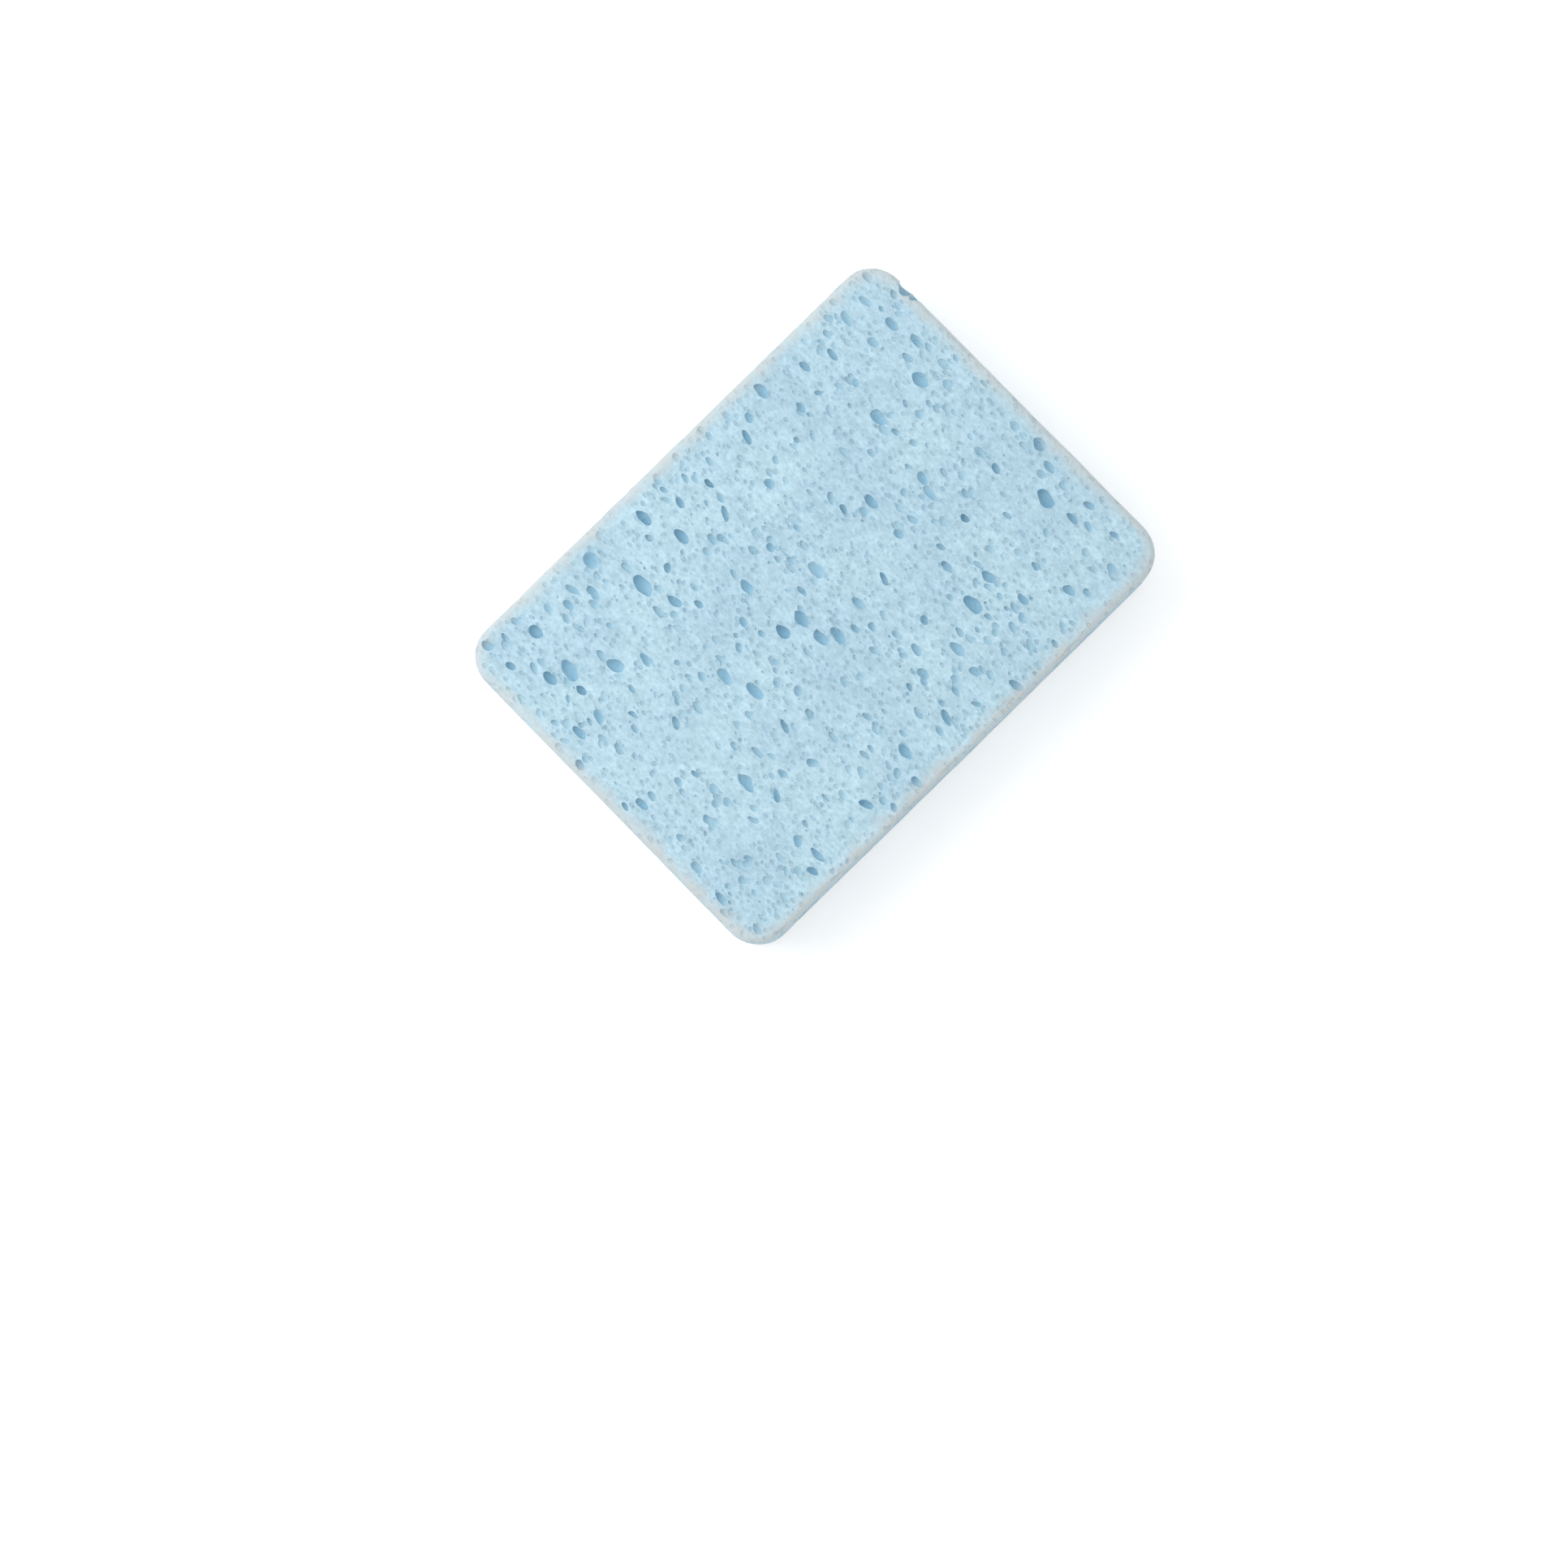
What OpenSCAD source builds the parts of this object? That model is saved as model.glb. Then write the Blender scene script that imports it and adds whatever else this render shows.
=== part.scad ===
/* [Block] */
// Length of the sponge
length = 140; // [100:1:180]
// Width of the sponge
width = 103; // [75:1:130]
// Thickness of the sponge
thickness = 26; // [16:1:40]
// Radius of the four upright corners
corner_r = 9; // [4:0.5:14]
// Radius of the rounding around the two large faces
edge_r = 2; // [0.6:0.1:3]

/* [Pores] */
// Width of the mouth of a large pore
large_pore_w = 3; // [1.5:0.1:4]
// Width of the mouth of a middle-sized pore on the large faces
face_pore_w = 2.2; // [1:0.1:2.8]
// Width of the mouth of a pore on the sides
side_pore_w = 3; // [1.5:0.1:3.6]
// Distance between the middle-sized pores of the large faces
face_pitch = 9.5; // [8:0.5:16]
// Distance between the pores of the sides
side_pitch = 9; // [7:0.5:16]
// Direction in which the large pores are drawn out, in degrees from the length
grain_angle = 76; // [0:1:180]
// Radius of the plain patch left in the middle of the base
plain_patch_r = 7; // [3:0.5:12]

/* [Hidden] */
$fn = 32;
PORE_FACETS = 20;

// Share of the upper face's length and width over which its large pores are spread
LARGE_FIELD = 0.965;
// Large pores of the upper face. Each has its place along the length and across the width,
// in per cent of the field's half length and half width from the middle, then the width of
// its mouth and the stretch by which it is drawn out, as shares of large_pore_w
LARGE_PORES = [
  [90, 71, 0.75, 0.5], [92, 57, 0.85, 0.2], [83, 42, 1.05, 0.3], [63, 43, 0.95, 0.5],
  [89, 88, 0.6, 0.4], [67, 81, 0.7, 0.3], [57, 86, 0.7, 0.2], [40, 92, 0.7, 0.8],
  [97, -21, 0.9, 0.2], [94, -32, 0.75, 0.3], [85, -42, 1.3, 0], [59, 7, 0.85, 0.2],
  [57, -1, 0.6, 0.7], [40, 16, 0.9, 0.2], [31, 23, 0.7, 0.2], [9, 11, 0.9, 0.4],
  [0, 9, 0.5, 0.4], [-7, -1, 1.1, 0.2], [-15, 1, 1.15, 0.2], [-2, -19, 1.05, 0.4],
  [-7, -14, 0.85, 0.4], [43, -32, 0.7, 0], [51, -50, 0.85, 0.4], [40, -54, 1.05, 0.5],
  [-13, 29, 0.75, 0.4], [-35, 48, 0.95, 0], [-39, 65, 1.15, 0.7], [-46, 91, 1.05, 0.3],
  [-17, 69, 0.9, 0], [-22, 88, 0.75, 0.9], [-63, 83, 0.7, 0.2], [-78, 85, 0.95, 0.3],
  [-79, 60, 1.25, 0.4], [-86, 64, 0.9, 0.4], [-66, 46, 0.95, 0], [-81, 49, 0.75, 0.2],
  [-83, 34, 0.9, 0], [-92, 35, 0.75, 0.4], [-41, 5, 1.05, 0.3], [-37, -10, 0.75, 0.7],
  [-62, -39, 0.75, 1], [-94, -11, 0.75, 0.2], [-62, -88, 0.85, 0], [10, -61, 0.75, 0],
  [25, -64, 0.7, 0.5], [-14, -82, 0.85, 0.3], [-37, -87, 0.9, 0], [5, -84, 0.85, 0]
];

// A pore is widest below its mouth, at this share of the mouth's radius
PORE_SINK = 0.5;
// Largest step between the hollows of a drawn-out pore, as a share of the mouth's radius
PORE_STEP = 1.5;
// Spread of the random pores: by how much of the pitch each is moved, and its size range
SCATTER = 0.36;
SMALLEST_PORE = 0.65;
// Free distance around a large pore, as a share of large_pore_w
LARGE_CLEAR = 1.25;
// The middles of the scattered pores stay this far inside the outline
OUTLINE_INSET = 0.8;
// Swing of the corner pores to each side of the corner's diagonal, in degrees
CORNER_SWING = 25;

UPPER_SEED = 11;
BASE_SEED = 23;
SIDE_SEED = 37;

half_l = length / 2;
half_w = width / 2;
run_x = length - 2 * corner_r;
run_y = width - 2 * corner_r;
side_h = thickness - 2 * edge_r;

// Radius of the hollow whose mouth has radius m
function hollow_r(m) = m * sqrt(1 + PORE_SINK * PORE_SINK);

// Number of cells of about one pitch along a stretch
function cells(stretch, pitch) = max(1, round(stretch / pitch));

// Middle of cell i of n on a stretch that is centred on zero, moved by shift
function cell_mid(i, n, stretch, shift) = ((i + 0.5 + shift) / n - 0.5) * stretch;

// True where a point lies inside the outline, brought in by inset
function in_outline(x, y, inset) =
  let (dx = max(0, abs(x) - run_x / 2), dy = max(0, abs(y) - run_y / 2))
  norm([dx, dy]) < corner_r - inset;

function large_place(pore) = [pore[0] * half_l, pore[1] * half_w] * LARGE_FIELD / 100;

function clear_of_large(place) =
  min([for (pore = LARGE_PORES) norm(place - large_place(pore))]) > LARGE_CLEAR * large_pore_w;

// Cross-section of the block, w wide, with rounded long edges
module section(w) {
  square([w, side_h], center = true);
  square([w - 2 * edge_r, thickness], center = true);
  for (sx = [-1, 1], sy = [-1, 1])
    translate([sx * (w / 2 - edge_r), sy * side_h / 2])
      circle(r = edge_r);
}

module corner() {
  rotate_extrude(angle = 90)
    intersection() {
      section(2 * corner_r);
      translate([0, -thickness])
        square([2 * corner_r, 2 * thickness]);
    }
}

// The plain block, centred on its own middle
module block() {
  rotate([90, 0, 90])
    linear_extrude(run_x, center = true)
      section(width);
  rotate([90, 0, 0])
    linear_extrude(run_y, center = true)
      section(length);
  for (quarter = [[1, 1, 0], [-1, 1, 90], [-1, -1, 180], [1, -1, 270]])
    translate([quarter[0] * run_x / 2, quarter[1] * run_y / 2, 0])
      rotate([0, 0, quarter[2]])
        corner();
}

// Hollow with its mouth in the plane z = 0 and its body below, m the mouth's radius
module pore(m) {
  translate([0, 0, -PORE_SINK * m])
    sphere(r = hollow_r(m), $fn = PORE_FACETS);
}

// Pore drawn out along X by a row of overlapping hollows
module long_pore(m, stretch) {
  steps = ceil(stretch / (PORE_STEP * m));
  for (i = [0 : steps])
    translate([steps == 0 ? 0 : (i / steps - 0.5) * stretch, 0, 0])
      pore(m);
}

module large_pores() {
  for (p = LARGE_PORES)
    translate(large_place(p))
      rotate([0, 0, grain_angle])
        long_pore(p[2] * large_pore_w / 2, p[3] * large_pore_w);
}

// Middle-sized pores scattered over a large face, each in a cell of its own
module face_pores(seed, upper) {
  nx = cells(length, face_pitch);
  ny = cells(width, face_pitch);
  for (i = [0 : nx - 1], j = [0 : ny - 1]) {
    chance = rands(-1, 1, 3, seed + i * ny + j);
    x = cell_mid(i, nx, length, SCATTER * chance[0]);
    y = cell_mid(j, ny, width, SCATTER * chance[1]);
    share = SMALLEST_PORE + (1 - SMALLEST_PORE) * abs(chance[2]);
    free = upper ? clear_of_large([x, y]) : norm([x, y]) > plain_patch_r + face_pore_w;
    if (free && in_outline(x, y, OUTLINE_INSET))
      translate([x, y, 0])
        pore(share * face_pore_w / 2);
  }
}

// Pore in an upright side that faces -Y, turned by turn about the corner's upright axis
module side_pore(x, away, z, turn, m) {
  translate([x, corner_r - away, z])
    rotate([0, 0, turn])
      translate([0, -corner_r, 0])
        rotate([90, 0, 0])
          pore(m);
}

// Pores of one upright side, whose flat stretch is run long, and of the corner at its end
module side_pores(run, away, seed) {
  rows = cells(side_h, side_pitch);
  along = cells(run, side_pitch);
  for (row = [0 : rows - 1], i = [0 : along]) {
    chance = rands(-1, 1, 3, seed + i * rows + row);
    z = cell_mid(row, rows, side_h, SCATTER * chance[0]);
    share = SMALLEST_PORE + (1 - SMALLEST_PORE) * abs(chance[2]);
    m = share * side_pore_w / 2;
    if (i < along)
      side_pore(cell_mid(i, along, run, SCATTER * chance[1]), away, z, 0, m);
    else
      side_pore(run / 2, away, z, 45 + CORNER_SWING * chance[1], m);
  }
}

module rim_pores() {
  for (side = [0 : 3]) {
    on_length = side % 2 == 0;
    run = on_length ? run_x : run_y;
    away = on_length ? half_w : half_l;
    rotate([0, 0, 90 * side])
      side_pores(run, away, SIDE_SEED * (side + 1));
  }
}

module sponge() {
  color("lightblue")
    translate([0, 0, thickness / 2])
      difference() {
        block();
        translate([0, 0, thickness / 2]) {
          large_pores();
          face_pores(UPPER_SEED, true);
        }
        translate([0, 0, -thickness / 2])
          mirror([0, 0, 1])
            face_pores(BASE_SEED, false);
        rim_pores();
      }
}

sponge();
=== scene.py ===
"""A light blue cellulose sponge lying on its large face: its pores, finish, light and camera."""

import itertools
import math

import bmesh
import bpy
import numpy as np
from mathutils import Matrix, Vector, noise


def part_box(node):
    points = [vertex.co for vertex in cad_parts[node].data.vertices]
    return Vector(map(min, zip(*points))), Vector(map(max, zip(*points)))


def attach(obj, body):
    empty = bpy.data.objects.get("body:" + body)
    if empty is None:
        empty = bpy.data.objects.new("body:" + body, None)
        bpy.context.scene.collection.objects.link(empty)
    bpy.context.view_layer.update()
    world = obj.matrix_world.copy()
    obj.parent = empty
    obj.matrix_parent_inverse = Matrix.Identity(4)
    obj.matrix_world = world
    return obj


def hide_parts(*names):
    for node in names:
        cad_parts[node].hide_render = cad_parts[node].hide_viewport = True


MM = 0.001
TINY = 1e-9

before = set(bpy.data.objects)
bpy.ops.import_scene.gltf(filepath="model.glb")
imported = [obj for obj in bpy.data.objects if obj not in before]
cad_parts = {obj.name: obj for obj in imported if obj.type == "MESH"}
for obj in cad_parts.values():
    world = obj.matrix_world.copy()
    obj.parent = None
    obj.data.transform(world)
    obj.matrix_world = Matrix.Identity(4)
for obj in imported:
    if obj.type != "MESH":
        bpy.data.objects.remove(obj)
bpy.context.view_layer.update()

# The block. Lengths are in mm here and below, where no comment says otherwise
lowest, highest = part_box("sponge")
LENGTH, WIDTH, THICKNESS = ((highest - lowest) / MM)[:]
CORNER_R = 9.0
EDGE_R = 2.0

# Skin of the block: a grid that lies at least SKIN_DEPTH inside the CAD faces, about SKIN_MEAN
# on average, and on the base SKIN_DEPTH less. Each wave has the size of its bumps and their
# depth. Those of the rim wear the rounded edges, and end about RIM_REACH away from them
GRID_STEP = 2.0
EDGE_STEPS = 4
SKIN_DEPTH = 0.1
SKIN_MEAN = 0.2
SKIN_WAVES = ((14.0, 0.1), (5.0, 0.07))
RIM_WAVES = ((9.0, 0.35), (4.0, 0.45))
RIM_REACH = 1.5 * EDGE_R

# Columns of a row that describes a pore: its mouth, the directions out of the surface and along
# the pore, its half length, half width and depth, and how far its middle lies below its mouth
MOUTH = slice(0, 3)
OUTWARD = slice(3, 6)
ALONG = slice(6, 9)
HALVES = slice(9, 12)
SINK = slice(12, 13)

# Direction in which the pores of the large faces are drawn out, from +X, and its spread, which
# is smaller for those that the CAD sponge has drawn out already
GRAIN = math.radians(89)
GRAIN_SPREAD = math.radians(13)
LONG_SPREAD = GRAIN_SPREAD / 3

# Pores of the CAD sponge: its points that lie deeper than PORE_WALL are on their walls, and a
# smaller group than PORE_POINTS isn't a pore
PORE_WALL = 0.04
PORE_POINTS = 6

# How the CAD pores are changed. One less than ROUND_LIMIT times as long as wide counts as
# round. The ranges are shares of the CAD pore's length, of its width, of its width again for
# the depth, and of the depth for the sink. A half width above WIDE_HALF always gives a deep
# pore, and no depth is above DEEPEST
ROUND_LIMIT = 1.1
ROUND_STRETCH = (1.3, 1.9)
LONG_STRETCH = (1.05, 1.25)
KEPT_WIDTH = (0.7, 0.95)
WIDE_HALF = 1.12
WIDE_DEPTH = (0.7, 0.9)
NARROW_DEPTH = (0.4, 0.75)
DEEPEST = 1.5
CAD_SINK = (0.0, 0.35)

# Fine pores: the range of their half lengths and how strongly short ones prevail, their width
# as a share of the length, their depth as a share of the width, their sink as a share of the
# depth, and how many there are in each square centimetre
FINE_HALF = (0.38, 1.6)
FINE_POWER = 2.0
FINE_WIDTH = (0.42, 0.75)
FINE_DEPTH = (0.6, 1.1)
FINE_SINK = (-0.45, 0.15)
FACE_DENSITY = 8.0
BASE_DENSITY = 6.0
SIDE_DENSITY = 6.5

# Fine pores stay this far inside the outline of a large face, and on the sides this far from
# the large faces
FACE_MARGIN = 0.1
SIDE_MARGIN = 0.3

# Fine pores crowd on the large faces: the size of the crowded places, the share of the pores
# that stays between them, and how many spots are tried for each pore
CLUSTER_SIZE = 11.0
CLUSTER_SHIFT = 5.0
LEAST_SHARE = 0.35
SPOTS_EACH = 4

# Uneven walls of a pore: the height and the size of the bumps as shares of the pore's size, and
# the reach of the noise in which each pore has its own place
LUMPS = 0.14
LUMP_SIZE = 0.9
LUMP_FIELD = 50
SEED = 20

# Cutters of the pores: up to which half length, with how many segments around, and how many
# rings from the lowest point to the middle. One more ring is this high above the middle
BOWLS = ((0.5, 6, 2), (1.0, 9, 2), (1.7, 12, 3), (9.0, 18, 4))
UPPER_RING = math.radians(42)

# Worn bites in the edges: how many in all and around the base, the ranges of their half
# lengths, half widths and depths, and how far in from the block's corner line they are
CHIPS = 44
LOWER_CHIPS = 15
CHIP_HALVES = ((1.2, 2.6), (0.6, 1.0), (0.4, 0.7))
CHIP_INSET = 0.7

# Torn notches beside the corner that is uppermost in the picture: the place of each along the
# outline, its half length, half height and depth, and its lean in degrees. Their middles lie a
# little below the upper face
NOTCHES = ((218.1, 2.0, 6.0, 2.5, 16), (214.7, 1.4, 3.2, 2.0, -35))
NOTCH_DOWN = 1.6

# Irregular shape of the pores: every point is shifted by up to WARP_DEPTH each way, in bumps
# of WARP_SIZE. Closer to the outside than WARP_FADE, it moves less and less in or out
WARP_SIZE = 2.6
WARP_DEPTH = 0.34
WARP_SHIFT = 20.0
WARP_FADE = 2.0

# Most triangles that the finished sponge may have, and the angle from which its edges are sharp
MOST_TRIANGLES = 190000
SHARP_ANGLE = math.radians(42)

# The painted pale edge light covers the rounded edges and fades this many times faster below them
EDGE_LIGHT_DOWN = 3.0

# Colours as they show, from 0 to 255: the skin's darker and lighter clouds, the painted shade on
# the walls of the pores near the mouth and deeper down, and the painted pale edge light
SKIN_COLOURS = ((179, 209, 224), (187, 216, 229))
PORE_UPPER_SHADE = (169, 204, 220)
PORE_DEEP_SHADE = (155, 198, 219)
EDGE_LIGHT_COLOUR = (211, 210, 205)
WHITE = (1, 1, 1, 1)

# Noises of the skin, with their scale for each mm, and the values between which they lead from
# the first colour to the second. The tones of all but the clouds multiply the colour below
CLOUDS = {"Scale": 0.045, "Detail": 1.0}
CLOUD_SPAN = (0.35, 0.65)
MOTTLE = {"Scale": 0.2, "Detail": 1.0}
MOTTLE_SPAN = (0.35, 0.65)
MOTTLE_TONES = ((0.96, 0.96, 0.96), (1.02, 1.02, 1.02))
FIBRES = {"Scale": 1.25, "Detail": 2.0, "Roughness": 0.6}
FIBRE_SPAN = (0.32, 0.68)
FIBRE_TONES = ((0.88, 0.905, 0.915), (1.08, 1.08, 1.08))
FRECKLES = {"Scale": 0.5, "Detail": 2.0}
FRECKLE_SPAN = (0.36, 0.64)
FRECKLE_TONES = ((0.91, 0.93, 0.94), (1.05, 1.05, 1.05))

# All but the clouds are drawn out this many times along the grain
PATTERN_STRETCH = 1.5

# Pits too small for the mesh, darkened as painted shade: the scale for each mm and the tone of
# the painted shade of each kind, the values between which a cell is chosen, and the distances
# from its middle between which it ends
SPECKS = ((0.75, (0.8, 0.87, 0.9)), (1.35, (0.86, 0.91, 0.93)))
SPECK_CHOICE = (0.45, 0.55)
SPECK_EDGE = (0.22, 0.44)

# Depths between which painted shade turns the walls of the pores to their upper colour, then
# the deeper one
UPPER_SHADE_SPAN = (0.15, 0.9)
DEEP_SHADE_SPAN = (0.6, 1.5)

# The painted pale edge light: its strength, the distances between which it ends, and how far noise
# moves them
EDGE_LIGHT_STRENGTH = 0.75
EDGE_LIGHT_SPAN = (2.2, 8.0)
EDGE_LIGHT_RAGGED = 3.0

# Bump of the fibres and of the larger specks, with its distance in metres
FIBRE_BUMP = {"Distance": 0.5 * MM, "Strength": 0.5}
SPECK_BUMP = {"Distance": 0.3 * MM, "Strength": 0.6}

# Camera: its focal length in pixels of the photograph, its tilt away from straight down and the
# side to which it tilts, the turn of the picture, and its distance from the upper face, whose
# middle lies FACE_SHIFT to the right of the picture's middle and above it
PHOTO_SIDE = 1932
SENSOR = 36.0
FOCAL_PX = 4500
CAMERA_TILT = math.radians(3)
CAMERA_SIDE = math.radians(-113.75)
PICTURE_TURN = math.radians(-44.38)
FACE_SHIFT = (7.35, 43.4)
CAMERA_DISTANCE = 879.1

# Floor, in metres, with the glow that only the camera sees, and the strength of the
# surroundings as a light
FLOOR_RADIUS = 6
FLOOR_CORNERS = 64
FLOOR_COLOUR = (0.88, 0.88, 0.88, 1)
FLOOR_GLOW = 0.3
WORLD_LIGHT = 0.84

# Key lamp: its place from the origin along the camera's right, up and back, and its side, both
# in metres, and its power in watts
KEY_PLACE = (-0.47, 0.17, 0.48)
KEY_SIZE = 0.6
KEY_POWER = 2.1


def rounded_outline(xy):
    """Depth inside the sponge's outline, and the outward normal there."""
    half = np.array([LENGTH, WIDTH]) / 2 - CORNER_R
    over = np.abs(xy) - half
    out = np.maximum(over, 0)
    reach = np.hypot(out[:, 0], out[:, 1])
    depth = CORNER_R - reach - np.minimum(over.max(1), 0)
    along_x = over[:, 0] > over[:, 1]
    normal = np.where(along_x[:, None], [1.0, 0.0], [0.0, 1.0])
    on_corner = reach > TINY
    normal[on_corner] = out[on_corner] / reach[on_corner, None]
    return depth, normal * np.where(xy < 0, -1, 1)


def depth_below(points):
    """How deep points lie below the nearer large face, and how deep inside the outline."""
    inside, _ = rounded_outline(points[:, :2])
    from_face = np.minimum(points[:, 2], THICKNESS - points[:, 2])
    return from_face, inside


def block_depth(points):
    """How deep points lie below the rounded block's outside."""
    from_face, inside = depth_below(points)
    side = np.maximum(EDGE_R - inside, 0)
    lift = np.maximum(EDGE_R - from_face, 0)
    on_edge = (side > 0) & (lift > 0)
    return np.where(on_edge, EDGE_R - np.hypot(side, lift), np.minimum(inside, from_face))


def smooth_noise(points, size, shift=0.0):
    """Noise between about -1 and 1 at each point, with bumps of about that size."""
    offset = Vector((shift, shift, shift))
    return np.array([noise.noise(Vector(point) / size + offset) for point in points])


def bumps(points, size, shift):
    """The same noise, between about 0 and 1."""
    return 0.5 + 0.5 * smooth_noise(points, size, shift)


def mesh_object(name, points, faces):
    """Object of a mesh whose points are given in mm."""
    mesh = bpy.data.meshes.new(name)
    corners = [list(map(int, face)) for face in faces]
    mesh.from_pydata((np.asarray(points) * MM).tolist(), [], corners)
    mesh.validate()
    piece = bpy.data.objects.new(name, mesh)
    bpy.context.scene.collection.objects.link(piece)
    return piece


def mesh_points(mesh):
    """The mesh's points in mm."""
    points = np.empty(len(mesh.vertices) * 3, np.float32)
    mesh.vertices.foreach_get("co", points)
    return points.reshape(-1, 3).astype(float) / MM


def set_points(mesh, points):
    """Moves the mesh's points to places in mm."""
    mesh.vertices.foreach_set("co", (points * MM).astype(np.float32).ravel())
    mesh.update()


def mesh_edges(mesh):
    """The numbers of the two points of each edge."""
    pairs = np.empty(len(mesh.edges) * 2, np.int32)
    mesh.edges.foreach_get("vertices", pairs)
    return pairs.reshape(-1, 2)


def store(mesh, name, values):
    """Keeps one number for each point, which the material reads."""
    attribute = mesh.attributes.new(name, "FLOAT", "POINT")
    attribute.data.foreach_set("value", values.astype(np.float32))


def grid_lines(extent, edge):
    """Coordinates across the block: close together near both ends, wider in between."""
    rim = np.linspace(0, edge, EDGE_STEPS + 1)
    inner = extent - 2 * edge
    middle = np.linspace(0, inner, max(2, round(inner / GRID_STEP)) + 1)[1:-1] + edge
    return np.concatenate([rim, middle, extent - rim[::-1]]) - extent / 2


def square_to_round(a, b):
    """Moves points of a square, from its inner corner, onto a quarter disc of the same reach."""
    reach = np.hypot(a, b)
    scale = np.divide(np.maximum(a, b), reach, out=np.ones_like(a), where=reach > TINY)
    return a * scale, b * scale


def block_grid():
    """Closed box of grid faces with the sponge's size: its points, centred, and its quads."""
    lines = [grid_lines(size, EDGE_R) for size in (LENGTH, WIDTH, THICKNESS)]
    numbers = {}
    points = []
    quads = []

    def number(key):
        if key not in numbers:
            numbers[key] = len(points)
            points.append([lines[axis][key[axis]] for axis in range(3)])
        return numbers[key]

    for axis in range(3):
        first, second = (axis + 1) % 3, (axis + 2) % 3
        for end in (0, len(lines[axis]) - 1):
            for i in range(len(lines[first]) - 1):
                for j in range(len(lines[second]) - 1):
                    corners = []
                    for di, dj in ((0, 0), (1, 0), (1, 1), (0, 1)):
                        key = [0, 0, 0]
                        key[axis], key[first], key[second] = end, i + di, j + dj
                        corners.append(number(tuple(key)))
                    quads.append(corners if end else corners[::-1])
    return np.array(points), quads


def round_block(points):
    """Rounds the box's upright corners, then the edges around its two large faces."""
    p = points.copy()
    half = np.array([LENGTH, WIDTH]) / 2 - CORNER_R
    over = np.maximum(np.abs(p[:, :2]) - half, 0)
    both = (over > 0).all(1)
    round_x, round_y = square_to_round(over[:, 0], over[:, 1])
    moved = np.stack([round_x, round_y], 1) + half
    p[both, :2] = (moved * np.where(p[:, :2] < 0, -1, 1))[both]
    depth, normal = rounded_outline(p[:, :2])
    side = np.clip(EDGE_R - depth, 0, EDGE_R)
    lift = np.maximum(np.abs(p[:, 2]) - (THICKNESS / 2 - EDGE_R), 0)
    round_side, round_lift = square_to_round(side, lift)
    p[:, :2] += normal * (round_side - side)[:, None]
    p[:, 2] += np.sign(p[:, 2]) * (round_lift - lift)
    return p


def skin_block():
    """The block without pores: slightly uneven faces and rubbed, wavy edges."""
    points, quads = block_grid()
    points = round_block(points)
    block = mesh_object("sponge_cellulose", points, quads)
    normals = np.empty(len(block.data.vertices) * 3, np.float32)
    block.data.vertices.foreach_get("normal", normals)
    depth, _ = rounded_outline(points[:, :2])
    from_face = THICKNESS / 2 - np.abs(points[:, 2])
    rim = np.clip(1 - (depth + from_face) / RIM_REACH, 0, 1)
    inward = np.full(len(points), SKIN_DEPTH)
    for size, amount in SKIN_WAVES:
        inward += amount * bumps(points, size, size)
    for size, amount in RIM_WAVES:
        inward += rim * amount * bumps(points, size, -size)
    points = points - normals.reshape(-1, 3) * inward[:, None]
    points[:, 2] += THICKNESS / 2
    # The lower part goes down again, so that the base rests on the floor
    points[points[:, 2] < THICKNESS / 4, 2] -= SKIN_DEPTH
    set_points(block.data, points)
    return block


def joined(count, pairs):
    """Group number of each of count points, where each pair joins two of them."""
    group = np.arange(count)
    while True:
        before = group
        least = group[pairs].min(1)
        group = group.copy()
        np.minimum.at(group, pairs[:, 0], least)
        np.minimum.at(group, pairs[:, 1], least)
        group = group[group]
        if (group == before).all():
            return group


def cad_hollows():
    """Points of each pore of the CAD sponge: one array for each pore."""
    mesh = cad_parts["sponge"].data
    points = mesh_points(mesh)
    # Points that agree to a thousandth of a millimetre are one point
    _, first, same = np.unique(np.round(points, 3), axis=0, return_index=True, return_inverse=True)
    points = points[first]
    pairs = same.ravel()[mesh_edges(mesh)]
    deep = block_depth(points) > PORE_WALL
    group = joined(len(points), pairs[deep[pairs].all(1)])[deep]
    order = np.argsort(group, kind="stable")
    cuts = np.flatnonzero(np.diff(group[order])) + 1
    return [cloud for cloud in np.split(points[deep][order], cuts) if len(cloud) >= PORE_POINTS]


def face_height(up):
    """Height of the skin of the upper large face, or of the lower one where up is negative."""
    return THICKNESS - SKIN_MEAN if up > 0 else SKIN_MEAN / 2


def cad_pores(rng):
    """Pores where the CAD sponge has them, drawn out along the grain and made uneven."""
    rows = []
    for cloud in cad_hollows():
        from_face, inside = depth_below(cloud)
        middle = (cloud.min(0) + cloud.max(0)) / 2
        if from_face.mean() < inside.mean():
            up = 1.0 if middle[2] > THICKNESS / 2 else -1.0
            normal = np.array([0, 0, up])
            mouth = np.array([*middle[:2], face_height(up)])
            along = np.array([math.cos(GRAIN), math.sin(GRAIN), 0])
        else:
            inset, outward = rounded_outline(middle[None, :2])
            normal = np.array([*outward[0], 0])
            mouth = middle + normal * (inset[0] - SKIN_MEAN)
            along = np.array([-normal[1], normal[0], 0])
        across = np.cross(normal, along)
        length = np.ptp(cloud @ along) / 2
        width = np.ptp(cloud @ across) / 2
        is_round = length < ROUND_LIMIT * width
        turn = rng.normal(0, GRAIN_SPREAD if is_round else LONG_SPREAD)
        grain = along * math.cos(turn) + across * math.sin(turn)
        stretch = rng.uniform(*(ROUND_STRETCH if is_round else LONG_STRETCH))
        share = rng.uniform(*(WIDE_DEPTH if width > WIDE_HALF else NARROW_DEPTH))
        depth = min(width * share, DEEPEST)
        half = (length * stretch, width * rng.uniform(*KEPT_WIDTH), depth)
        rows.append((*mouth, *normal, *grain, *half, depth * rng.uniform(*CAD_SINK)))
    return np.array(rows)


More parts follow.
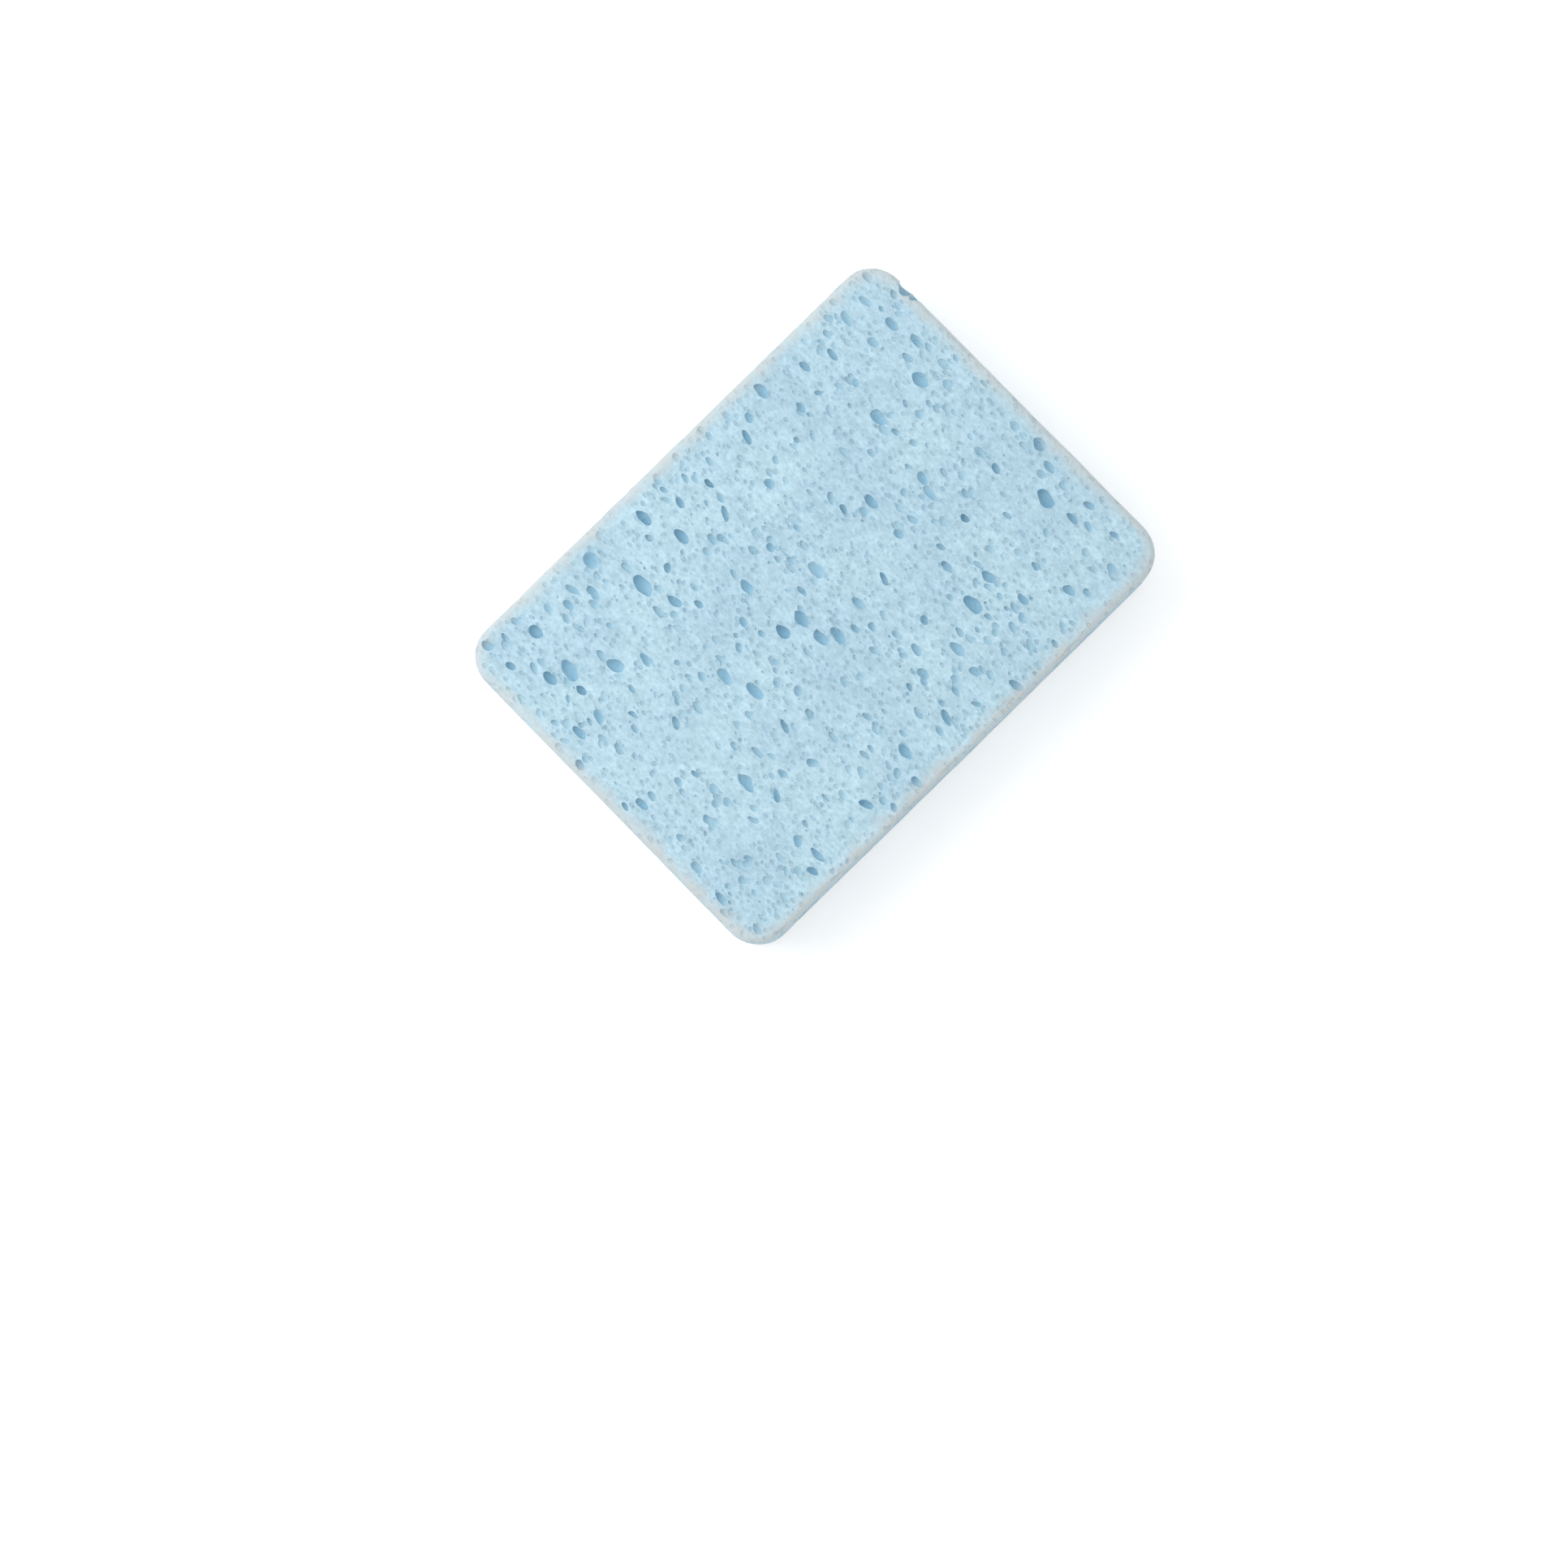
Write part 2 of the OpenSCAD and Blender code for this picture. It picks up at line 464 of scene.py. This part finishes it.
def fine_pores(rng, mouths, normals, grains):
    """Fine pores at these mouths, many short ones and few long ones."""
    count = len(mouths)
    small, large = FINE_HALF
    length = small + (large - small) * rng.random(count) ** FINE_POWER
    width = length * rng.uniform(*FINE_WIDTH, count)
    depth = width * rng.uniform(*FINE_DEPTH, count)
    sink = depth * rng.uniform(*FINE_SINK, count)
    return np.column_stack([mouths, normals, grains, length, width, depth, sink])


def clustered(rng, spots):
    """Drops some of the spots, so that the pores lie closer together in some places."""
    crowd = np.clip(0.5 + smooth_noise(spots, CLUSTER_SIZE, CLUSTER_SHIFT), 0, 1)
    return spots[rng.random(len(spots)) < LEAST_SHARE + (1 - LEAST_SHARE) * crowd]


def face_pores(rng, density, up):
    """Fine pores of a large face, drawn out along the grain."""
    wanted = round(LENGTH * WIDTH / 100 * density)
    spots = (rng.random((wanted * SPOTS_EACH, 2)) - 0.5) * [LENGTH, WIDTH]
    inside, _ = rounded_outline(spots)
    mouths = np.column_stack([spots, np.full(len(spots), face_height(up))])
    mouths = clustered(rng, mouths[inside > FACE_MARGIN])[:wanted]
    count = len(mouths)
    angles = rng.normal(GRAIN, GRAIN_SPREAD, count)
    grains = np.column_stack([np.cos(angles), np.sin(angles), np.zeros(count)])
    return fine_pores(rng, mouths, np.tile([0.0, 0.0, up], (count, 1)), grains)


def outline_length():
    """Way around the block."""
    return 2 * (LENGTH + WIDTH - 4 * CORNER_R) + 2 * math.pi * CORNER_R


def on_outline(distance):
    """Points of the outline at these distances along it, and the outward normals there."""
    run = (LENGTH - 2 * CORNER_R, WIDTH - 2 * CORNER_R)
    arc = math.pi / 2 * CORNER_R
    places = np.zeros((len(distance), 2))
    normals = np.zeros((len(distance), 2))
    left = distance.copy()
    open_spots = np.ones(len(distance), bool)
    for quarter in range(4):
        turn = math.pi / 2 * quarter
        out = np.array([math.sin(turn), -math.cos(turn)])
        along = np.array([math.cos(turn), math.sin(turn)])
        length = run[quarter % 2]
        away = run[1 - quarter % 2] / 2
        here = open_spots & (left < length)
        places[here] = out * (away + CORNER_R) + along * (left[here, None] - length / 2)
        normals[here] = out
        open_spots &= ~here
        left[open_spots] -= length
        here = open_spots & (left < arc)
        angle = turn - math.pi / 2 + left[here] / CORNER_R
        normals[here] = np.stack([np.cos(angle), np.sin(angle)], 1)
        places[here] = out * away + along * length / 2 + normals[here] * CORNER_R
        open_spots &= ~here
        left[open_spots] -= arc
    return places, normals


def leaning(outward, angles):
    """Directions along the upright sides, turned up from the level by these angles."""
    level = np.column_stack([-outward[:, 1], outward[:, 0], np.zeros(len(outward))])
    upright = np.array([0, 0, 1.0])
    return level * np.cos(angles)[:, None] + upright * np.sin(angles)[:, None]


def side_pores(rng, density):
    """Fine pores of the four sides and the upright corners, drawn out along the outline."""
    count = round(outline_length() * THICKNESS / 100 * density)
    places, outward = on_outline(rng.random(count) * outline_length())
    heights = rng.uniform(SIDE_MARGIN, THICKNESS - SIDE_MARGIN, count)
    mouths = np.column_stack([places - outward * SKIN_MEAN, heights])
    normals = np.column_stack([outward, np.zeros(count)])
    grains = leaning(outward, rng.normal(0, GRAIN_SPREAD, count))
    return fine_pores(rng, mouths, normals, grains)


def edge_chips(rng):
    """Shallow bites in the rounding around the two large faces."""
    places, outward = on_outline(rng.random(CHIPS) * outline_length())
    up = np.where(np.arange(CHIPS) < LOWER_CHIPS, -1.0, 1.0)
    heights = THICKNESS / 2 + up * (THICKNESS / 2 - CHIP_INSET)
    mouths = np.column_stack([places - outward * CHIP_INSET, heights])
    normals = np.column_stack([outward, up]) / math.sqrt(2)
    halves = np.column_stack([rng.uniform(*span, CHIPS) for span in CHIP_HALVES])
    flat = np.zeros(CHIPS)
    return np.column_stack([mouths, normals, leaning(outward, flat), halves, flat])


def corner_notches():
    """Torn notches that run down the side from the upper face."""
    distance, *halves, lean = np.array(NOTCHES).T
    places, outward = on_outline(distance)
    heights = np.full(len(distance), THICKNESS - NOTCH_DOWN)
    mouths = np.column_stack([places - outward * SKIN_MEAN, heights])
    flat = np.zeros(len(distance))
    grains = leaning(outward, np.radians(lean))
    return np.column_stack([mouths, outward, flat, grains, *halves, flat])


def bowl(segments, rings):
    """Round closed body of radius 1 with its lower half in rings: its points and triangles."""
    levels = [math.pi / 2 * (ring / rings - 1) for ring in range(1, rings + 1)] + [UPPER_RING]
    points = [(0, 0, -1)]
    for level in levels:
        reach = math.cos(level)
        for k in range(segments):
            turn = 2 * math.pi * k / segments
            points.append((reach * math.cos(turn), reach * math.sin(turn), math.sin(level)))
    points.append((0, 0, 1))
    last = 1 + (len(levels) - 1) * segments
    faces = []
    for k in range(segments):
        after = (k + 1) % segments
        faces.append((0, 1 + after, 1 + k))
        for ring in range(len(levels) - 1):
            below = 1 + ring * segments
            above = below + segments
            faces.append((below + k, below + after, above + after))
            faces.append((below + k, above + after, above + k))
        faces.append((last + k, last + after, len(points) - 1))
    return np.array(points), np.array(faces)


def pore_layers(pores):
    """Layer of each pore: within a layer, no pore meets another."""
    middles = pores[:, MOUTH] - pores[:, OUTWARD] * pores[:, SINK]
    reaches = pores[:, HALVES].max(1) * (1 + LUMPS)
    cell = 2 * reaches.max()
    cells = {}
    layers = np.zeros(len(pores), int)
    steps = [np.array(step) for step in itertools.product((-1, 0, 1), repeat=3)]
    for index, (middle, reach) in enumerate(zip(middles, reaches)):
        home = (middle // cell).astype(int)
        near = [other for step in steps for other in cells.get(tuple(home + step), ())]
        taken = {layers[k] for k in near if math.dist(middle, middles[k]) < reach + reaches[k]}
        layers[index] = next(n for n in itertools.count() if n not in taken)
        cells.setdefault(tuple(home), []).append(index)
    return layers


def pore_cutter(rng, pores):
    """One mesh of small, uneven, drawn-out hollows: its points and triangles."""
    shapes = [bowl(segments, rings) for _, segments, rings in BOWLS]
    limits = [limit for limit, _, _ in BOWLS]
    points = []
    faces = []
    start = 0
    for pore in pores:
        normal, along, half = pore[OUTWARD], pore[ALONG], pore[HALVES]
        unit, triangles = shapes[np.searchsorted(limits, half[0])]
        spots = unit + rng.uniform(-LUMP_FIELD, LUMP_FIELD, 3)
        lumps = 1 + LUMPS * smooth_noise(spots, LUMP_SIZE)
        axes = np.stack([along, np.cross(normal, along), normal])
        body = (unit * lumps[:, None] * half) @ axes
        points.append(body + pore[MOUTH] - normal * pore[SINK])
        faces.append(triangles + start)
        start += len(unit)
    return np.concatenate(points), np.concatenate(faces)


def apply_modifiers(piece):
    """Replaces the piece's mesh by the result of its modifiers."""
    graph = bpy.context.evaluated_depsgraph_get()
    result = bpy.data.meshes.new_from_object(piece.evaluated_get(graph))
    piece.modifiers.clear()
    old = piece.data
    piece.data = result
    bpy.data.meshes.remove(old)


def cut(piece, tool):
    """Cuts the tool out of the piece, and removes the tool."""
    step = piece.modifiers.new("pores", "BOOLEAN")
    step.operation = "DIFFERENCE"
    step.solver = "MANIFOLD"
    step.object = tool
    apply_modifiers(piece)
    mesh = tool.data
    bpy.data.objects.remove(tool)
    bpy.data.meshes.remove(mesh)


def drop_crumbs(mesh):
    """Removes crumbs left between pores, so that only the block stays, and makes triangles."""
    group = joined(len(mesh.vertices), mesh_edges(mesh))
    crumbs = group != np.bincount(group).argmax()
    tidy = bmesh.new()
    tidy.from_mesh(mesh)
    loose = [vertex for vertex, crumb in zip(tidy.verts, crumbs) if crumb]
    bmesh.ops.delete(tidy, geom=loose, context="VERTS")
    bmesh.ops.triangulate(tidy, faces=tidy.faces)
    tidy.to_mesh(mesh)
    tidy.free()


def lighten(piece):
    """Joins the triangles that matter least to the shape, down to the number allowed."""
    share = MOST_TRIANGLES / len(piece.data.polygons)
    if share < 1:
        piece.modifiers.new("lighter", "DECIMATE").ratio = share
        apply_modifiers(piece)
        drop_flaps(piece.data)


def drop_flaps(mesh):
    """Removes pairs of triangles that lie back to back on the same three points."""
    tidy = bmesh.new()
    tidy.from_mesh(mesh)
    single = {}
    flaps = []
    for face in tidy.faces:
        corners = frozenset(face.verts)
        if corners in single:
            flaps += [face, single.pop(corners)]
        else:
            single[corners] = face
    bmesh.ops.delete(tidy, geom=flaps, context="FACES")
    tidy.to_mesh(mesh)
    tidy.free()


def warp(mesh):
    """Bends the pores' outlines out of their regular shapes, and keeps the block in its box."""
    points = mesh_points(mesh)
    shifts = [smooth_noise(points, WARP_SIZE, WARP_SHIFT * (axis + 1)) for axis in range(3)]
    shift = np.stack(shifts, 1) * WARP_DEPTH
    from_face, _ = depth_below(points)
    depth, normal = rounded_outline(points[:, :2])
    shift[:, 2] *= np.clip(from_face / WARP_FADE, 0, 1)
    outward = (shift[:, :2] * normal).sum(1) * np.clip(1 - depth / WARP_FADE, 0, 1)
    shift[:, :2] -= normal * outward[:, None]
    set_points(mesh, points + shift)


def mark_depth(mesh):
    """Stores how deep each point lies below the outside, for the painted shade in the pores, and
    how far from the rim, for the painted edge light.
    """
    points = mesh_points(mesh)
    store(mesh, "pit", block_depth(points))
    from_face, inside = depth_below(points)
    down = np.minimum(from_face, EDGE_R) + EDGE_LIGHT_DOWN * np.maximum(from_face - EDGE_R, 0)
    store(mesh, "rim", np.maximum(down, inside))


def make_sponge():
    """The sponge as one closed mesh: an uneven block with the CAD pores and fine pores."""
    rng = np.random.default_rng(SEED)
    sponge = skin_block()
    pores = np.concatenate(
        [
            cad_pores(rng),
            face_pores(rng, FACE_DENSITY, 1.0),
            face_pores(rng, BASE_DENSITY, -1.0),
            side_pores(rng, SIDE_DENSITY),
            edge_chips(rng),
            corner_notches(),
        ]
    )
    layers = pore_layers(pores)
    for layer in range(layers.max() + 1):
        cut(sponge, mesh_object("pores", *pore_cutter(rng, pores[layers == layer])))
    drop_crumbs(sponge.data)
    lighten(sponge)
    warp(sponge.data)
    mark_depth(sponge.data)
    for polygon in sponge.data.polygons:
        polygon.use_smooth = True
    sponge.data.set_sharp_from_angle(angle=SHARP_ANGLE)
    return sponge


def add_node(tree, kind, inputs=None, **settings):
    """New node with the given settings, and values or links for its inputs."""
    node = tree.nodes.new(kind)
    for name, value in settings.items():
        setattr(node, name, value)
    for name, value in (inputs or {}).items():
        if isinstance(value, bpy.types.NodeSocket):
            tree.links.new(value, node.inputs[name])
        else:
            node.inputs[name].default_value = value
    return node


def calculate(tree, operation, *values):
    """Result of an operation on numbers or sockets."""
    node = add_node(tree, "ShaderNodeMath", dict(enumerate(values)), operation=operation)
    return node.outputs[0]


def blend(tree, factor, first, second, mode="MIX"):
    """Mixes two colours by a factor. They are the seventh and eighth inputs of the node."""
    inputs = {0: factor, 6: first, 7: second}
    return add_node(tree, "ShaderNodeMix", inputs, data_type="RGBA", blend_type=mode).outputs[2]


def fade(tree, value, span, low=0.0, high=1.0):
    """Goes smoothly from low to high while the value goes through the span."""
    start, end = span
    limits = {"Value": value, "From Min": start, "From Max": end, "To Min": low, "To Max": high}
    return add_node(tree, "ShaderNodeMapRange", limits, interpolation_type="SMOOTHSTEP").outputs[0]


def noise_colour(tree, place, texture, span, colours):
    """Noise at a place, and the colour it gives between the two ends of its span."""
    values = add_node(tree, "ShaderNodeTexNoise", {"Vector": place, **texture}).outputs["Fac"]
    ramp = add_node(tree, "ShaderNodeValToRGB", {"Fac": values})
    for element, position, colour in zip(ramp.color_ramp.elements, span, colours):
        element.position = position
        element.color = (*colour, 1)
    return values, ramp.outputs["Color"]


def linear(colour):
    """Linear colour of an sRGB colour given from 0 to 255."""
    scaled = [c / 255 for c in colour]
    return tuple(c / 12.92 if c <= 0.04045 else ((c + 0.055) / 1.055) ** 2.4 for c in scaled)


def skin_colour(tree, place, drawn_out):
    """Mottled colour of the skin, with the noises of the mottling, the fibres and the freckles."""
    _, colour = noise_colour(tree, place, CLOUDS, CLOUD_SPAN, map(linear, SKIN_COLOURS))
    noises = []
    for texture, span, tones in (
        (MOTTLE, MOTTLE_SPAN, MOTTLE_TONES),
        (FIBRES, FIBRE_SPAN, FIBRE_TONES),
        (FRECKLES, FRECKLE_SPAN, FRECKLE_TONES),
    ):
        values, tone = noise_colour(tree, drawn_out, texture, span, tones)
        colour = blend(tree, 1.0, colour, tone, "MULTIPLY")
        noises.append(values)
    return colour, noises


def add_specks(tree, drawn_out, colour):
    """Darkens the colour with painted shade in small specks, pits too small for the mesh, and gives
    the specks too, from the largest kind.
    """
    specks = []
    for scale, tone in SPECKS:
        cells = add_node(tree, "ShaderNodeTexVoronoi", {"Vector": drawn_out, "Scale": scale})
        chosen = fade(tree, cells.outputs["Color"], SPECK_CHOICE)
        near = fade(tree, cells.outputs["Distance"], SPECK_EDGE, 1.0, 0.0)
        speck = calculate(tree, "MULTIPLY", chosen, near)
        colour = blend(tree, 1.0, colour, blend(tree, speck, WHITE, (*tone, 1)), "MULTIPLY")
        specks.append(speck)
    return colour, specks


def sponge_material():
    """Matt light blue cellulose: mottled skin, painted shade that deepens the blue of the pores
    and small pits, painted pale light on the rounded edges, and fine pits as bump.
    """
    material = bpy.data.materials.new("cellulose")
    material.use_nodes = True
    tree = material.node_tree
    shader = tree.nodes["Principled BSDF"]
    metres = add_node(tree, "ShaderNodeTexCoord").outputs["Object"]
    to_mm = {0: metres, 1: (1 / MM, 1 / MM, 1 / MM)}
    place = add_node(tree, "ShaderNodeVectorMath", to_mm, operation="MULTIPLY").outputs[0]
    turned = {"Vector": place, "Rotation": (0, 0, GRAIN), "Scale": (PATTERN_STRETCH, 1.0, 1.0)}
    drawn_out = add_node(tree, "ShaderNodeMapping", turned, vector_type="TEXTURE").outputs[0]

    colour, (mottle, fibres, freckles) = skin_colour(tree, place, drawn_out)
    colour, specks = add_specks(tree, drawn_out, colour)

    # Painted shade: the walls of the pores darken with their depth below the outside
    pit = add_node(tree, "ShaderNodeAttribute", attribute_name="pit").outputs["Fac"]
    for span, pore_shade in ((UPPER_SHADE_SPAN, PORE_UPPER_SHADE), (DEEP_SHADE_SPAN, PORE_DEEP_SHADE)):
        colour = blend(tree, fade(tree, pit, span), colour, (*linear(pore_shade), 1))

    # Painted pale edge light on the rounded edges, where light shows through them, made ragged by
    # noise
    rim = add_node(tree, "ShaderNodeAttribute", attribute_name="rim").outputs["Fac"]
    for values in (mottle, freckles):
        rim = calculate(tree, "MULTIPLY_ADD", values, EDGE_LIGHT_RAGGED, rim)
    edge_light = fade(tree, rim, EDGE_LIGHT_SPAN, EDGE_LIGHT_STRENGTH, 0.0)
    colour = blend(tree, edge_light, colour, (*linear(EDGE_LIGHT_COLOUR), 1))
    tree.links.new(colour, shader.inputs["Base Color"])

    shader.inputs["Roughness"].default_value = 0.9
    shader.inputs["Specular IOR Level"].default_value = 0.2
    shader.inputs["Sheen Weight"].default_value = 0.15
    shader.inputs["Sheen Roughness"].default_value = 0.6

    fine = add_node(tree, "ShaderNodeBump", {"Height": fibres, **FIBRE_BUMP}).outputs[0]
    pitted = {"Height": specks[0], "Normal": fine, **SPECK_BUMP}
    pits = add_node(tree, "ShaderNodeBump", pitted, invert=True).outputs[0]
    tree.links.new(pits, shader.inputs["Normal"])
    return material


def floor_material():
    """White floor that keeps its shadows and shows as white where the light falls on it."""
    material = bpy.data.materials.new("floor")
    material.use_nodes = True
    tree = material.node_tree
    shader = tree.nodes["Principled BSDF"]
    shader.inputs["Base Color"].default_value = FLOOR_COLOUR
    shader.inputs["Roughness"].default_value = 0.9
    shader.inputs["Specular IOR Level"].default_value = 0.1
    seen = add_node(tree, "ShaderNodeLightPath").outputs["Is Camera Ray"]
    strength = calculate(tree, "MULTIPLY", seen, FLOOR_GLOW)
    glow = add_node(tree, "ShaderNodeEmission", {"Color": WHITE, "Strength": strength})
    both = add_node(tree, "ShaderNodeAddShader", {0: shader.outputs[0], 1: glow.outputs[0]})
    tree.links.new(both.outputs[0], tree.nodes["Material Output"].inputs["Surface"])
    return material


def make_floor():
    """Large round floor below the sponge."""
    bpy.ops.mesh.primitive_circle_add(vertices=FLOOR_CORNERS, radius=FLOOR_RADIUS, fill_type="NGON")
    floor = bpy.context.object
    floor.name = "floor"
    floor.data.materials.append(floor_material())
    return floor


def add_camera():
    """Camera that looks down on the sponge, which then shows as in the photograph."""
    data = bpy.data.cameras.new("camera")
    data.sensor_width = SENSOR
    data.lens = FOCAL_PX / PHOTO_SIDE * SENSOR
    back = Vector(
        (
            math.sin(CAMERA_TILT) * math.cos(CAMERA_SIDE),
            math.sin(CAMERA_TILT) * math.sin(CAMERA_SIDE),
            math.cos(CAMERA_TILT),
        )
    )
    level = Vector((1, 0, 0)) - back * back.x
    level.normalize()
    right = level * math.cos(PICTURE_TURN) + back.cross(level) * math.sin(PICTURE_TURN)
    up = back.cross(right)
    face = Vector((0, 0, THICKNESS))
    spot = face + back * CAMERA_DISTANCE - right * FACE_SHIFT[0] - up * FACE_SHIFT[1]
    axes = Matrix((right, up, back)).transposed().to_4x4()
    camera = bpy.data.objects.new("camera", data)
    camera.matrix_world = Matrix.Translation(spot * MM) @ axes
    bpy.context.scene.collection.objects.link(camera)
    bpy.context.scene.camera = camera
    return camera


def add_lamp(name, place, size, power):
    """Square soft light that faces the sponge from a place in metres."""
    data = bpy.data.lights.new(name, "AREA")
    data.size = size
    data.energy = power
    lamp = bpy.data.objects.new(name, data)
    lamp.location = place
    lamp.rotation_euler = Vector(place).to_track_quat("Z", "Y").to_euler()
    bpy.context.scene.collection.objects.link(lamp)


def set_world():
    """White surroundings, which light the sponge softly from all sides."""
    world = bpy.data.worlds.new("studio")
    world.use_nodes = True
    tree = world.node_tree
    seen = add_node(tree, "ShaderNodeLightPath").outputs["Is Camera Ray"]
    levels = {"Value": seen, "To Min": WORLD_LIGHT, "To Max": 1.0}
    strength = add_node(tree, "ShaderNodeMapRange", levels)
    backdrop = tree.nodes["Background"]
    backdrop.inputs["Color"].default_value = WHITE
    tree.links.new(strength.outputs[0], backdrop.inputs["Strength"])
    bpy.context.scene.world = world


sponge = make_sponge()
sponge.data.materials.clear()
sponge.data.materials.append(sponge_material())
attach(sponge, "root")
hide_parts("sponge")

make_floor()
set_world()
camera = add_camera()
camera_axes = camera.matrix_world.to_3x3()
add_lamp("key", camera_axes @ Vector(KEY_PLACE), KEY_SIZE, KEY_POWER)
bpy.context.scene.view_settings.view_transform = "Standard"
